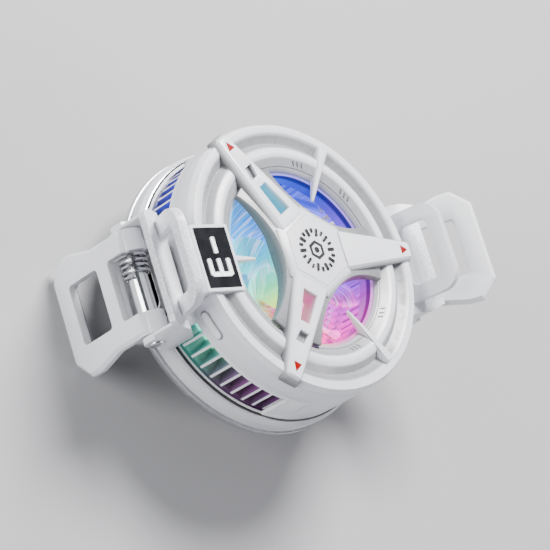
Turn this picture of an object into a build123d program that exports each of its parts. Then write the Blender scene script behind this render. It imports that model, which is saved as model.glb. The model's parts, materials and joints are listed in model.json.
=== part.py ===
from build123d import *
import os
from math import asin, cos, degrees, hypot, pi, radians, sin, sqrt

os.makedirs("parts", exist_ok=True)

# Lengths are in millimetres and angles in degrees. The contact face of the
# thermal pad lies at z = 0, and +Z points out of the front of the fan.
# The display and the port face -X, and one arm of the guard points along +X.

# Shared clearances
overrun = 5.0
seat_gap = 0.05
bore_gap = 0.04
panel_gap = 0.12

# Base ring, magnets and trim
base_radius = 29.4
base_wall = 2.0
base_floor = 1.0
base_height = 3.5
base_round = 0.6
magnet_width = 3.9
magnet_thickness = 1.75
magnet_share = 0.88
trim_inset = 0.65
trim_wall = 1.0
trim_height = 0.6

# Cooling stack, from the phone outwards
plate_margin = 1.5
plate_thickness = 1.6
pad_inset = 1.0
pad_thickness = 0.8
module_margin = 0.8
module_thickness = 3.2
module_ceramic = 0.7
sink_clearance = 0.4
sink_base_thickness = 1.6
fin_count = 64
fin_thickness = 0.5
fin_inner_radius = 10.5
fin_step_margin = 0.2
fin_clearance = 0.3
fin_low_height = 4.4
fin_high_height = 8.9

# Drum
drum_inset = 1.0
drum_wall = 0.8
drum_height = 14.2
vent_height = 9.1
vent_edge = 0.4
vent_head = 1.0
pillar_half_angle = 10.0
window_margin_angle = 10.0
boss_margin = 0.6
boss_radius = 1.7
rib_width = 1.2

# Bezel, as steps inwards from its rim or outwards from its opening, and as
# heights above the drum's top edge
opening_radius = 18.4
bezel_rim_inset = 0.6
bezel_rim_height = 1.4
bezel_land = 1.5
groove_step = 1.3
groove_height = 0.2
ridge_foot_step = 1.4
ridge_foot_height = 1.3
ridge_step = 3.2
ridge_height = 1.7
lip_step = 0.5
lip_height = 0.5
collar_wall = 1.2
collar_depth = 2.7
bezel_underside = 1.1
peg_radius = 1.0

# Light ring and lamp board
light_ring_wall = 0.6
light_ring_height = 3.3
lamp_board_thickness = 0.8
lamp_side = 1.6
lamp_height = 0.7
lamp_count = 12

# Star guard, with heights above the drum's top edge
arm_count = 3
hub_apothem = 8.3
hub_top_apothem = 6.7
hub_bevel = 0.7
guard_rise = 4.0
arm_root_half_width = 4.4
arm_tip_half_width = 2.0
arm_root_radius = 7.5
arm_overhang = 0.5
arm_drop = 1.7
arm_bevel = 0.8
arm_sink = 0.3
skirt_lift = 0.6
skirt_edge_rise = 1.6
skirt_apothem = 8.8
skirt_arc_radius = 17.5
hub_hollow_radius = 7.0
hub_roof = 1.9
badge_thickness = 0.5
badge_proud = 0.1
arm_window_start = 9.7
arm_window_end = 16.5
arm_window_wide = 1.75
arm_window_narrow = 1.15
arm_pocket_step = 1.3
arm_pocket_length = 2.6
arm_pocket_width = 1.5
arm_pocket_depth = 1.0
arm_pocket_slant = 0.8
inlay_inset = 2.6
inlay_size = 1.9
inlay_depth = 0.4
inlay_proud = 0.05

# Pointed fins between the arms, with heights above the drum's top edge
spike_inset = 2.4
spike_reach = 4.9
spike_root_half_width = 1.2
spike_tip_half_width = 0.35
spike_root_rise = 2.2
spike_tip_rise = 0.9
spike_sink = 0.1
spike_bevel = 0.3

# Impeller and motor
blade_clearance = 0.4
impeller_height = 7.2
cup_radius = 7.5
cup_wall = 0.8
cup_roof = 1.0
blade_count = 9
blade_tip_margin = 1.4
blade_root_depth = 0.55
blade_root_chord = 7.2
blade_tip_chord = 8.8
blade_root_pitch = 52.0
blade_tip_pitch = 32.0
blade_sweep = 20.0
blade_thickness = 0.8
blade_camber = 0.45
rotor_wall = 0.75
rotor_height = 4.6
air_gap = 0.4
stator_height = 3.6
stator_poles = 6
stator_core_wall = 0.9
pole_width = 1.2
shoe_thickness = 0.7
slot_opening_angle = 12.0
coil_gap = 0.15
coil_overhang = 0.5
shaft_radius = 1.0
shaft_boss_radius = 2.0
shaft_boss_height = 0.8
shaft_float = 0.3
bearing_radius = 1.9
bearing_height = 1.6
tube_wall = 0.7
tube_flange_radius = 8.5
tube_flange_thickness = 0.8

# Display and port housing
display_margin = 2.0
display_overhang = 0.2
display_width = 12.2
display_frame = 0.6
display_rise = 2.15
display_glass_thickness = 0.6
display_board_thickness = 0.9
column_width = 12.2
column_proud = 0.9
column_drop = 1.3
column_round = 0.9
head_slope = 1.2
port_width = 8.94
port_height = 3.26
port_wall = 0.3
port_depth = 7.3
port_tongue = 0.7
port_tongue_width = 6.7
port_tongue_length = 5.6
port_rise = 2.2
port_recess_width = 10.2
port_recess_height = 4.8
port_recess_depth = 0.9
slot_width = 8.0
slot_height = 0.9
slot_rise = 6.9
slot_depth = 0.6
main_board_thickness = 0.8
main_board_length = 4.6
main_board_setback = 0.8
main_board_width = 11.6

# Mode button
button_angle = -156.0
button_length = 5.8
button_height = 1.7
button_drop = 3.2
button_proud = 0.35
button_depth = 1.75
button_travel = 0.4
button_slot_gap = 0.08
switch_length = 3.6
switch_height = 1.6

# Screws
screw_radius = 0.8
screw_head_radius = 1.4
screw_head_height = 0.7
case_screw_length = 8.0
plate_screw_length = 5.6
bracket_screw_length = 2.2

# Hinge, as its distance outside the base ring and above the base ring's foot
hinge_reach = 4.6
hinge_rise = 8.1
pin_radius = 2.0
pin_end_radius = 1.2
pin_head_radius = 1.6
pin_head_thickness = 0.5

# Clip ring and the brackets' feet
clip_ring_step = 1.0
clip_ring_overhang = 0.2
clip_ring_thickness = 1.2
tab_reach = 2.5
foot_half_width = 9.0
tab_round = 2.0
foot_thickness = 1.6
foot_gap = 0.15
bracket_screw_y = 6.9
bracket_screw_reach = 0.8

# Bracket walls, with places measured from the hinge axis
bracket_half_width = 11.8
flange_thickness = 1.2
ear_radius = 2.4
saddle_inset = 2.9
saddle_clearance = 0.6
saddle_lift = 0.4
flange_shoulder = 2.1
roof_inner_reach = 1.2
roof_inner_top = 6.4
roof_inner_under = 4.4
roof_bend_reach = 0.2
roof_bend_top = 8.4
ridge_reach = 2.8
ridge_top = 9.7
ridge_half_width = 10.8
ridge_lip_reach = 3.2
ridge_lip_top = 8.4
roof_under_reach = 2.2
roof_under = 7.8

# Leaning loop, with heights above the hinge axis
loop_lean = 17.8
loop_foot_reach = 1.95
loop_foot_rise = 5.0
loop_rise = 17.0
loop_sill = 2.6
loop_half_width = 9.5
loop_bar = 3.1
loop_thickness = 1.8
loop_round = 4.0
loop_inner_round = 1.6

# Jaw, grip pad and spring
jaw_half_width = 12.0
jaw_neck_gap = 0.2
jaw_neck_end = 7.7
jaw_flare_end = 14.0
jaw_window_half_width = 6.1
jaw_length = 20.6
jaw_offset = 2.4
jaw_thickness = 1.8
jaw_crossbar_start = 3.6
jaw_window_start = 7.0
jaw_window_end = 16.0
jaw_corner_width = 3.6
jaw_corner_length = 3.6
jaw_bevel = 0.7
jaw_window_round = 0.9
jaw_top_reach = 1.6
hook_reach = 3.0
hook_thickness = 1.6
knuckle_radius = 3.0
grip_thickness = 0.7
grip_inset = 1.2
open_angle = 135.0
spring_wire = 0.6
spring_sides = 8
spring_gap = 0.45
spring_turns = 4
spring_clearance = 0.25
spring_leg = 2.2
spring_samples = 400
spring_sample_skip = 60

# Radii worked out from the base ring and the opening
channel_radius = base_radius - base_wall
trim_radius = base_radius - trim_inset
drum_radius = base_radius - drum_inset
drum_inner = drum_radius - drum_wall
plate_radius = channel_radius - magnet_width - plate_margin
pad_radius = plate_radius - pad_inset
module_side = sqrt(2) * (plate_radius - module_margin)
plate_screw_circle = (module_side / 2 + plate_radius) / 2
sink_radius = channel_radius - sink_clearance
fin_outer_radius = drum_inner - fin_clearance
fin_step_radius = opening_radius + fin_step_margin
boss_circle = channel_radius - boss_radius - boss_margin
lip_radius = opening_radius + lip_step
collar_radius = opening_radius + collar_wall
ridge_radius = opening_radius + ridge_step
ridge_foot_radius = ridge_radius + ridge_foot_step
groove_radius = ridge_foot_radius + groove_step
lamp_board_inner = collar_radius + panel_gap
lamp_board_outer = boss_circle - boss_radius - panel_gap
peg_circle = (lamp_board_inner + lamp_board_outer) / 2
blade_tip_radius = opening_radius - blade_tip_margin
arm_tip_radius = drum_radius + arm_overhang
inlay_radius = arm_tip_radius - inlay_inset
arm_pocket_radius = opening_radius + arm_pocket_step
spike_root_radius = drum_radius - spike_inset
spike_tip_radius = opening_radius - spike_reach
display_inner_x = opening_radius + display_margin
display_length = drum_radius + display_overhang - display_inner_x
column_face = base_radius + column_proud
clip_ring_inner = plate_radius + clip_ring_step
clip_ring_outer = base_radius + clip_ring_overhang
tab_x = base_radius + tab_reach
bracket_screw_x = base_radius + bracket_screw_reach
hinge_x = base_radius + hinge_reach
saddle_x = hinge_x - knuckle_radius - saddle_clearance
jaw_neck_half_width = bracket_half_width - flange_thickness - jaw_neck_gap

# Levels worked out from the stack
plate_bottom = pad_thickness
stack_bottom = plate_bottom + plate_thickness
sink_bottom = stack_bottom + module_thickness
sink_floor = sink_bottom + sink_base_thickness
base_top = stack_bottom + base_height
trim_top = base_top + trim_height
drum_top = trim_top + drum_height
vent_top = trim_top + vent_height
clip_bottom = stack_bottom - clip_ring_thickness
guard_top = drum_top + guard_rise
arm_foot = drum_top - arm_sink
skirt_foot = drum_top + skirt_lift
skirt_top = guard_top - hub_bevel
display_top = drum_top + display_rise
housing_head_bottom = drum_top - bezel_underside
column_bottom = base_top - column_drop
port_z = base_top + port_rise
slot_z = port_z + slot_rise
button_z = drum_top - button_drop
hinge_z = stack_bottom + hinge_rise
saddle_bottom = base_top + saddle_lift
lamp_top = drum_top - collar_depth + lamp_board_thickness / 2
lamp_bottom = lamp_top - lamp_board_thickness
impeller_bottom = sink_floor + fin_low_height + blade_clearance
impeller_top = impeller_bottom + impeller_height
tube_bottom = sink_floor + tube_flange_thickness
tube_top = impeller_top - cup_roof - shaft_boss_height - air_gap / 2
tube_radius = bearing_radius + tube_wall
shaft_bottom = tube_bottom + shaft_float
shaft_top = impeller_top - cup_roof / 2
stator_bottom = impeller_bottom + coil_overhang
rotor_inner = cup_radius - cup_wall - rotor_wall
stator_radius = rotor_inner - air_gap
guard_step = 360 / arm_count

solids = {}
low = (Align.CENTER, Align.CENTER, Align.MIN)


def disc(radius, bottom, top):
    """A round plate between two levels."""
    return Pos(0, 0, bottom) * Cylinder(radius, top - bottom, align=low)


def ring(outer, inner, bottom, top):
    """A flat ring between two levels."""
    return disc(outer, bottom, top) - disc(inner, bottom - overrun, top + overrun)


def block(x0, x1, y0, y1, z0, z1):
    """A box given by its limits."""
    size = (x1 - x0, y1 - y0, z1 - z0)
    return Pos((x0 + x1) / 2, (y0 + y1) / 2, z0) * Box(*size, align=low)


def outline(*points):
    """A flat face through the given points."""
    return make_face(Polyline(*points, close=True))


def side_slab(points, y0, y1):
    """A profile in X and Z, carried from y0 to y1."""
    face = Plane.XZ * outline(*points)
    return Pos(0, y0, 0) * extrude(face, amount=y1 - y0, dir=(0, 1, 0))


def turned(points):
    """A profile in radius and height, turned about the fan's axis."""
    return revolve(Plane.XZ * outline(*points), Axis.Z)


def around(angle, radius=0, height=0):
    """A place at an angle round the fan's axis, with local X pointing outwards."""
    return Rot(0, 0, angle) * Pos(radius, 0, height)


def sector(outer, inner, start, stop, bottom, top):
    """A piece of a ring between two angles."""
    steps = 4
    middle = (start + stop) / 2
    reach = (outer + overrun) / cos(radians((stop - start) / steps))
    points = [(0, 0)]
    for index in range(steps + 1):
        angle = radians(start - middle + (stop - start) * index / steps)
        points.append((reach * cos(angle), reach * sin(angle)))
    wedge = Rot(0, 0, middle) * extrude(outline(*points), amount=top - bottom)
    return ring(outer, inner, bottom, top) & (Pos(0, 0, bottom) * wedge)


def hexagon(apothem):
    """A hexagon with a flat side across the +X direction."""
    return Rot(0, 0, 30) * RegularPolygon(apothem, 6, major_radius=False)


def save(name, shape):
    solids[name] = shape


def cooling_stack():
    """Pad, cold plate, module and the foam round it."""
    plate = disc(plate_radius, plate_bottom, stack_bottom)
    half = module_side / 2
    module = block(-half, half, -half, half, stack_bottom, sink_bottom)
    waist = module_side - 2 * module_ceramic
    core = block(-waist / 2, waist / 2, -waist / 2, waist / 2,
                 stack_bottom + module_ceramic, sink_bottom - module_ceramic)
    gap = block(-half, half, -half, half,
                stack_bottom + module_ceramic, sink_bottom - module_ceramic)
    module = module - (gap - core)
    foam = disc(plate_radius, stack_bottom, sink_bottom)
    cell = half + seat_gap
    foam -= block(-cell, cell, -cell, cell, stack_bottom - overrun, sink_bottom + overrun)
    for quarter in range(4):
        place = around(90 * quarter, plate_screw_circle)
        foam -= place * disc(screw_radius + bore_gap, stack_bottom - overrun, sink_bottom + overrun)
        plate -= place * disc(screw_radius + bore_gap, plate_bottom - overrun, stack_bottom + overrun)
        plate -= place * disc(screw_head_radius + bore_gap, plate_bottom - overrun,
                              plate_bottom + screw_head_height)
    save("thermal_pad", disc(pad_radius, 0, pad_thickness))
    save("cold_plate", plate)
    save("thermoelectric_module", module)
    save("insulation_foam", foam)


def screw(bottom, length):
    """A pan screw with its head at the bottom."""
    head = disc(screw_head_radius, bottom, bottom + screw_head_height)
    return head + disc(screw_radius, bottom, bottom + length)


def boss_angles():
    return (0, 90, -90)


def fin_angles():
    """Angles of the fins that have room beside the screw bosses and the port."""
    kept = []
    pitch = 360 / fin_count
    for index in range(fin_count):
        angle = (index + 0.5) * pitch
        x = boss_circle * cos(radians(angle))
        y = boss_circle * sin(radians(angle))
        room = fin_thickness / 2 + panel_gap
        beside_port = x < 0 and abs(y) < column_width / 2 + room + fin_thickness
        centres = [(boss_circle * cos(radians(a)), boss_circle * sin(radians(a))) for a in boss_angles()]
        beside_boss = any(hypot(x - cx, y - cy) < boss_radius + room for cx, cy in centres)
        if not beside_port and not beside_boss:
            kept.append(angle)
    return kept


def heat_sink():
    """A base plate with radial fins that step down under the impeller."""
    sink = disc(sink_radius, sink_bottom, sink_floor)
    root = sink_floor - sink_base_thickness / 2
    profile = [
        (fin_inner_radius, root),
        (sink_radius - seat_gap, root),
        (sink_radius - seat_gap, sink_floor),
        (fin_outer_radius, sink_floor),
        (fin_outer_radius, sink_floor + fin_high_height),
        (fin_step_radius, sink_floor + fin_high_height),
        (fin_step_radius, sink_floor + fin_low_height),
        (fin_inner_radius, sink_floor + fin_low_height),
    ]
    fin = side_slab(profile, -fin_thickness / 2, fin_thickness / 2)
    fins = [Rot(0, 0, angle) * fin for angle in fin_angles()]
    sink = sink + fins
    half = column_width / 2 + panel_gap
    sink -= block(-sink_radius - overrun, -display_inner_x + panel_gap, -half, half,
                  sink_bottom - overrun, sink_floor + overrun)
    for quarter in range(4):
        hole = disc(screw_radius, sink_bottom - overrun, stack_bottom + plate_screw_length)
        sink -= around(90 * quarter, plate_screw_circle) * hole
    for angle in boss_angles():
        hole = disc(screw_radius + bore_gap, sink_bottom - overrun, sink_floor + overrun)
        sink -= around(angle, boss_circle) * hole
    return sink


def base_ring():
    """The lighter band at the foot of the drum, with a channel for the magnets."""
    inner = plate_radius + 2 * panel_gap
    floor_top = stack_bottom + base_floor
    band = turned([
        (inner, stack_bottom),
        (base_radius - base_round, stack_bottom),
        (base_radius, stack_bottom + base_round),
        (base_radius, base_top - base_round),
        (base_radius - base_round, base_top),
        (channel_radius, base_top),
        (channel_radius, floor_top),
        (inner, floor_top),
    ])
    boss_top = sink_bottom - seat_gap
    for angle in boss_angles():
        place = around(angle, boss_circle)
        band += place * disc(boss_radius, floor_top - base_floor / 2, boss_top)
        band -= place * disc(screw_radius + bore_gap, stack_bottom - overrun, base_top + overrun)
        band -= place * disc(screw_head_radius + bore_gap, stack_bottom - overrun,
                             stack_bottom + screw_head_height)
    half = column_width / 2 + seat_gap
    band -= block(-base_radius - overrun, -channel_radius + seat_gap, -half, half,
                  column_bottom - seat_gap, base_top + overrun)
    return band


def magnets():
    """Four arc magnets in the channel, between the screw bosses."""
    outer = channel_radius - seat_gap
    bottom = stack_bottom + base_floor
    half = 45 * magnet_share
    arcs = []
    for middle in (45, 135, 225, 315):
        arcs.append(sector(outer, outer - magnet_width, middle - half, middle + half,
                           bottom, bottom + magnet_thickness))
    return arcs


def vent_spans():
    """Start and end angle of each vent panel, starting beside the +X pillar."""
    port_side = degrees(asin((column_width / 2 + panel_gap) / drum_inner))
    first = (pillar_half_angle, 90 - pillar_half_angle)
    second = (90 + pillar_half_angle, 180 - port_side)
    return [first, second, (-second[1], -second[0]), (-first[1], -first[0])]


def vent_frame(start, stop):
    """One curved panel with a long window in front of the fins."""
    panel = sector(drum_radius, drum_inner, start, stop, trim_top, vent_top - seat_gap)
    near = pillar_half_angle + window_margin_angle
    if abs(start + stop) > 180:
        side = 1 if start > 0 else -1
        limits = sorted((side * (90 + near), side * (180 - near)))
    else:
        side = 1 if start > 0 else -1
        limits = sorted((side * near, side * (90 - near)))
    panel -= sector(drum_radius + overrun, drum_inner - overrun, limits[0], limits[1],
                    trim_top + vent_edge, vent_top - vent_head)
    return panel


def button_blank(grow, inner, outer):
    """The pill of the mode button, carried along its own radius."""
    length = button_length + 2 * grow
    height = button_height + 2 * grow
    pill = Plane.YZ * SlotOverall(length, height)
    bar = Pos(inner, 0, button_z) * extrude(pill, amount=outer - inner)
    return Rot(0, 0, button_angle) * bar


def drum_shell():
    """The wall above the vents, with pillars and screw bosses between them."""
    shell = ring(drum_radius, drum_inner, trim_top, drum_top)
    gap_angle = degrees(panel_gap / drum_radius)
    for start, stop in vent_spans():
        shell -= sector(drum_radius + overrun, drum_inner - overrun,
                        start - gap_angle, stop + gap_angle, trim_top - overrun, vent_top)
    boss_top = drum_top - bezel_underside - seat_gap
    for angle in boss_angles():
        boss = around(angle, boss_circle) * disc(boss_radius, sink_floor + seat_gap, boss_top)
        rib = Rot(0, 0, angle) * block(boss_circle, drum_inner + drum_wall / 2,
                                       -rib_width / 2, rib_width / 2, sink_floor + seat_gap, boss_top)
        bore = around(angle, boss_circle) * disc(screw_radius, sink_floor - overrun,
                                                 stack_bottom + case_screw_length + seat_gap)
        shell = shell + boss + rib - bore
    shell -= block(-drum_radius - overrun, -drum_inner + overrun, -column_width / 2, column_width / 2,
                   trim_top - overrun, drum_top + overrun)
    shell -= head_block(seat_gap, housing_head_bottom - seat_gap, drum_top + overrun)
    shell -= button_blank(button_slot_gap, drum_inner - overrun, drum_radius + overrun)
    return shell


def trim_ring():
    """A bright line between the base ring and the drum."""
    trim = ring(trim_radius, trim_radius - trim_wall, base_top, trim_top)
    half = column_width / 2 + seat_gap
    return trim - block(-trim_radius - overrun, 0, -half, half, base_top - overrun, trim_top + overrun)


def bezel_profile():
    """Land, groove, raised ring and sloping lip, then the collar and the underside."""
    level = drum_top
    rim = drum_radius - bezel_rim_inset
    return [
        (drum_radius, level),
        (rim, level + bezel_rim_height),
        (rim - bezel_land, level + bezel_rim_height),
        (groove_radius, level + groove_height),
        (ridge_foot_radius, level + ridge_foot_height),
        ((ridge_foot_radius + ridge_radius) / 2, level + (ridge_foot_height + 3 * ridge_height) / 4),
        (ridge_radius, level + ridge_height),
        ((ridge_radius + lip_radius) / 2, level + (ridge_height + lip_height) / 2 + groove_height / 2),
        (lip_radius, level + lip_height),
        (opening_radius, level),
        (opening_radius, level - collar_depth),
        (collar_radius, level - collar_depth),
        (collar_radius, level - bezel_underside),
        (drum_inner - seat_gap, level - bezel_underside),
        (drum_inner - seat_gap, level),
    ]


def head_block(grow, bottom, top):
    """The outline of the display head, between two levels."""
    half = display_width / 2 + display_frame + grow
    inner = display_inner_x - display_frame - grow
    return block(-drum_radius - overrun, -inner, -half, half, bottom, top)


def bezel():
    cover = turned(bezel_profile())
    for index in range(arm_count):
        peg = disc(peg_radius, lamp_top + seat_gap, drum_top - bezel_underside / 2)
        cover += around(30 + guard_step * index, peg_circle) * peg
    return cover - head_block(seat_gap, housing_head_bottom - overrun, drum_top + overrun)


def arm_level(radius):
    """Height of an arm's top face."""
    share = (radius - arm_root_radius) / (arm_tip_radius - arm_root_radius)
    return guard_top - arm_drop * share


def arm_half_width(radius):
    """Half the width of an arm at a radius."""
    share = (radius - arm_root_radius) / (arm_tip_radius - arm_root_radius)
    return arm_root_half_width + (arm_tip_half_width - arm_root_half_width) * share


def arm_section(radius, drop):
    """The bevelled outline of an arm at a radius, with its top lowered by a drop."""
    wide = arm_half_width(radius)
    top = arm_level(radius) - drop
    flat = wide - arm_bevel
    plane = Plane(origin=(radius, 0, 0), x_dir=(0, 1, 0), z_dir=(1, 0, 0))
    return plane * outline((-wide, arm_foot), (wide, arm_foot), (wide, top - arm_bevel),
                           (flat, top), (-flat, top), (-wide, top - arm_bevel))


def arm_blank():
    """One tapered arm along +X with bevelled top edges and a bevelled tip."""
    shoulder = arm_tip_radius - arm_bevel
    return loft([arm_section(arm_root_radius, 0), arm_section(shoulder, 0),
                 arm_section(arm_tip_radius, arm_bevel)], ruled=True)


def arm_face(radius):
    """A plane on an arm's top face, with its X axis running down the arm."""
    slope = arm_drop / (arm_tip_radius - arm_root_radius)
    return Plane(origin=(radius, 0, arm_level(radius)), x_dir=(1, 0, -slope), z_dir=(slope, 0, 1))


def inlay(depth, proud):
    """A triangle that points outwards, let into an arm's tip."""
    half = inlay_size / 2
    face = arm_face(inlay_radius).offset(-depth) * outline((-half, -half), (half, 0), (-half, half))
    return extrude(face, amount=depth + proud)


def skirt():
    """The part of the guard that falls from the hub to the arms in three hollow curves."""
    body = turned([
        (0, skirt_foot),
        (lip_radius, skirt_foot),
        (lip_radius, drum_top + skirt_edge_rise),
        (hub_apothem, skirt_top),
        (0, skirt_top),
    ])
    centre = skirt_apothem + skirt_arc_radius
    rise = skirt_top - skirt_foot
    growth = (skirt_apothem - hub_apothem) / rise
    for index in range(arm_count):
        bottom_radius = skirt_arc_radius - overrun * growth
        top_radius = skirt_arc_radius + (rise + overrun) * growth
        cone = Cone(bottom_radius, top_radius, rise + 2 * overrun, align=low)
        body -= around(60 + guard_step * index, centre, skirt_foot - overrun) * cone
    return body


def guard_star(cover):
    """Hub, skirt and three arms, seated on the bezel."""
    hub = extrude(hexagon(hub_apothem), amount=guard_top - hub_bevel - arm_foot)
    hub = Pos(0, 0, arm_foot) * hub
    crown = loft([
        Pos(0, 0, guard_top - hub_bevel) * hexagon(hub_apothem),
        Pos(0, 0, guard_top) * hexagon(hub_top_apothem),
    ])
    star = hub + crown + skirt()
    for index in range(arm_count):
        star += Rot(0, 0, guard_step * index) * arm_blank()
    for index in range(1, arm_count):
        turn = Rot(0, 0, guard_step * index)
        slit = outline(
            (arm_window_start, -arm_window_wide), (arm_window_end, -arm_window_narrow),
            (arm_window_end, arm_window_narrow), (arm_window_start, arm_window_wide),
        )
        star -= turn * (Pos(0, 0, arm_foot - overrun) * extrude(slit, amount=guard_top))
        half = arm_pocket_length / 2
        pocket = outline(
            (-half, -arm_pocket_width + arm_pocket_slant), (half, -arm_pocket_width),
            (half, arm_pocket_width - arm_pocket_slant), (-half, arm_pocket_width),
        )
        plane = arm_face(arm_pocket_radius).offset(-arm_pocket_depth)
        star -= turn * extrude(plane * pocket, amount=arm_pocket_depth + overrun)
    for index in range(arm_count):
        star -= Rot(0, 0, guard_step * index) * inlay(inlay_depth, overrun)
    star -= disc(hub_hollow_radius, arm_foot - overrun, guard_top - hub_roof)
    badge_hole = Pos(0, 0, guard_top - badge_thickness + badge_proud) * hexagon(hub_top_apothem - panel_gap)
    star -= extrude(badge_hole, amount=overrun)
    star -= ring(drum_radius, opening_radius, arm_foot - overrun, drum_top)
    return star - cover


def hub_badge():
    """The flat plate on the hub, left without any sign."""
    face = hexagon(hub_top_apothem - panel_gap - seat_gap)
    plate = extrude(Pos(0, 0, guard_top + badge_proud - badge_thickness) * face, amount=badge_thickness)
    return chamfer(plate.faces().sort_by(Axis.Z)[-1].edges(), badge_proud)


def guard_fin(cover, angle):
    """One pointed fin from the groove to over the opening."""
    foot = drum_top - spike_sink
    root_top = drum_top + spike_root_rise
    tip_top = drum_top + spike_tip_rise
    side = side_slab([
        (spike_tip_radius, tip_top - 2 * spike_bevel),
        (opening_radius, foot),
        (spike_root_radius, foot),
        (spike_root_radius, root_top),
        (spike_tip_radius, tip_top),
    ], -spike_root_half_width, spike_root_half_width)
    plan = outline(
        (spike_tip_radius, -spike_tip_half_width), (spike_root_radius, -spike_root_half_width),
        (spike_root_radius, spike_root_half_width), (spike_tip_radius, spike_tip_half_width),
    )
    fin = side & (Pos(0, 0, foot - overrun) * extrude(plan, amount=2 * overrun))
    top = fin.faces().sort_by(Axis.Z)[-1]
    long_edges = top.edges().sort_by(SortBy.LENGTH)[-2:]
    fin = chamfer(long_edges, spike_bevel) - cover - ring(drum_radius, opening_radius, 0, drum_top)
    return Rot(0, 0, angle) * fin - head_block(seat_gap, foot - overrun, guard_top)


def lamp_board():
    """A ring board with small lamps that shine into the light ring."""
    board = ring(lamp_board_outer, lamp_board_inner, lamp_bottom, lamp_top)
    for index in range(lamp_count):
        x0 = lamp_board_outer - lamp_side * 2
        lamp = block(x0, x0 + lamp_side, -lamp_side / 2, lamp_side / 2,
                     lamp_bottom - lamp_height, lamp_bottom + lamp_board_thickness / 2)
        board += Rot(0, 0, (index + 0.5) * 360 / lamp_count) * lamp
    return board


def blade_section(share):
    """The bent outline of a blade at a share of its span."""
    root = cup_radius - blade_root_depth
    radius = root + (blade_tip_radius - root) * share
    half = (blade_root_chord + (blade_tip_chord - blade_root_chord) * share) / 2
    pitch = blade_root_pitch + (blade_tip_pitch - blade_root_pitch) * share
    turn = blade_sweep * share * share
    low_side = blade_camber - blade_thickness / 2
    high_side = blade_camber + blade_thickness / 2
    face = outline((-half, 0), (0, low_side), (half, 0), (half, blade_thickness / 2),
                   (0, high_side), (-half, blade_thickness / 2))
    middle = (impeller_bottom + impeller_top - cup_roof) / 2
    return Rot(0, 0, turn) * (Pos(radius, 0, middle) * (Plane.YZ * (Rot(0, 0, -pitch) * face)))


def impeller():
    """A cup with nine swept and twisted blades."""
    cup = disc(cup_radius, impeller_bottom, impeller_top)
    cup = fillet(cup.faces().sort_by(Axis.Z)[-1].edges(), cup_wall)
    inner = cup_radius - cup_wall
    cup -= disc(inner, impeller_bottom - overrun, impeller_top - cup_roof)
    boss = disc(shaft_boss_radius, impeller_top - cup_roof - shaft_boss_height, impeller_top - cup_roof / 2)
    cup = cup + boss
    cup -= disc(shaft_radius, impeller_bottom - overrun, shaft_top)
    blade = loft([blade_section(share) for share in (0, 0.5, 1)])
    blade = blade & disc(blade_tip_radius, impeller_bottom - overrun, impeller_top + overrun)
    for index in range(blade_count):
        cup += Rot(0, 0, index * 360 / blade_count) * blade
    return cup


def motor():
    """Bearing tube, bearings, shaft, stator with its coils, and rotor magnet."""
    tube = disc(tube_flange_radius, sink_floor, tube_bottom) + disc(tube_radius, sink_floor, tube_top)
    tube -= disc(bearing_radius, tube_bottom, tube_top + overrun)
    low_bearing = ring(bearing_radius, shaft_radius + bore_gap / 2, shaft_bottom,
                       shaft_bottom + bearing_height)
    high_bearing = ring(bearing_radius, shaft_radius + bore_gap / 2,
                        tube_top - bearing_height, tube_top)
    save("bearing_tube", tube)
    save("bearings", [low_bearing, high_bearing])
    save("motor_shaft", disc(shaft_radius, shaft_bottom, shaft_top))
    save("rotor_magnet", ring(cup_radius - cup_wall, rotor_inner, impeller_bottom,
                              impeller_bottom + rotor_height))
    stator_top = stator_bottom + stator_height
    core = ring(tube_radius + stator_core_wall, tube_radius, stator_bottom, stator_top)
    rim = ring(stator_radius, stator_radius - shoe_thickness, stator_bottom, stator_top)
    coils = []
    step = 360 / stator_poles
    for index in range(stator_poles):
        turn = Rot(0, 0, index * step)
        core += turn * block(tube_radius + stator_core_wall / 2, stator_radius - shoe_thickness / 2,
                             -pole_width / 2, pole_width / 2, stator_bottom, stator_top)
        gap = sector(stator_radius + overrun, tube_radius, (index + 0.5) * step - slot_opening_angle / 2,
                     (index + 0.5) * step + slot_opening_angle / 2,
                     stator_bottom - overrun, stator_top + overrun)
        rim -= gap
        inner = tube_radius + stator_core_wall + coil_gap
        outer = stator_radius - shoe_thickness - coil_gap
        wide = pole_width / 2 + coil_overhang
        coil = block(inner, outer, -wide, wide, stator_bottom - coil_overhang, stator_top + coil_overhang)
        slim = pole_width / 2 + coil_gap / 2
        coil -= block(inner - overrun, outer + overrun, -slim, slim,
                      stator_bottom - coil_gap / 2, stator_top + coil_gap / 2)
        coils.append(turn * coil)
    save("motor_stator", core + rim)
    save("motor_coils", coils)


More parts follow.
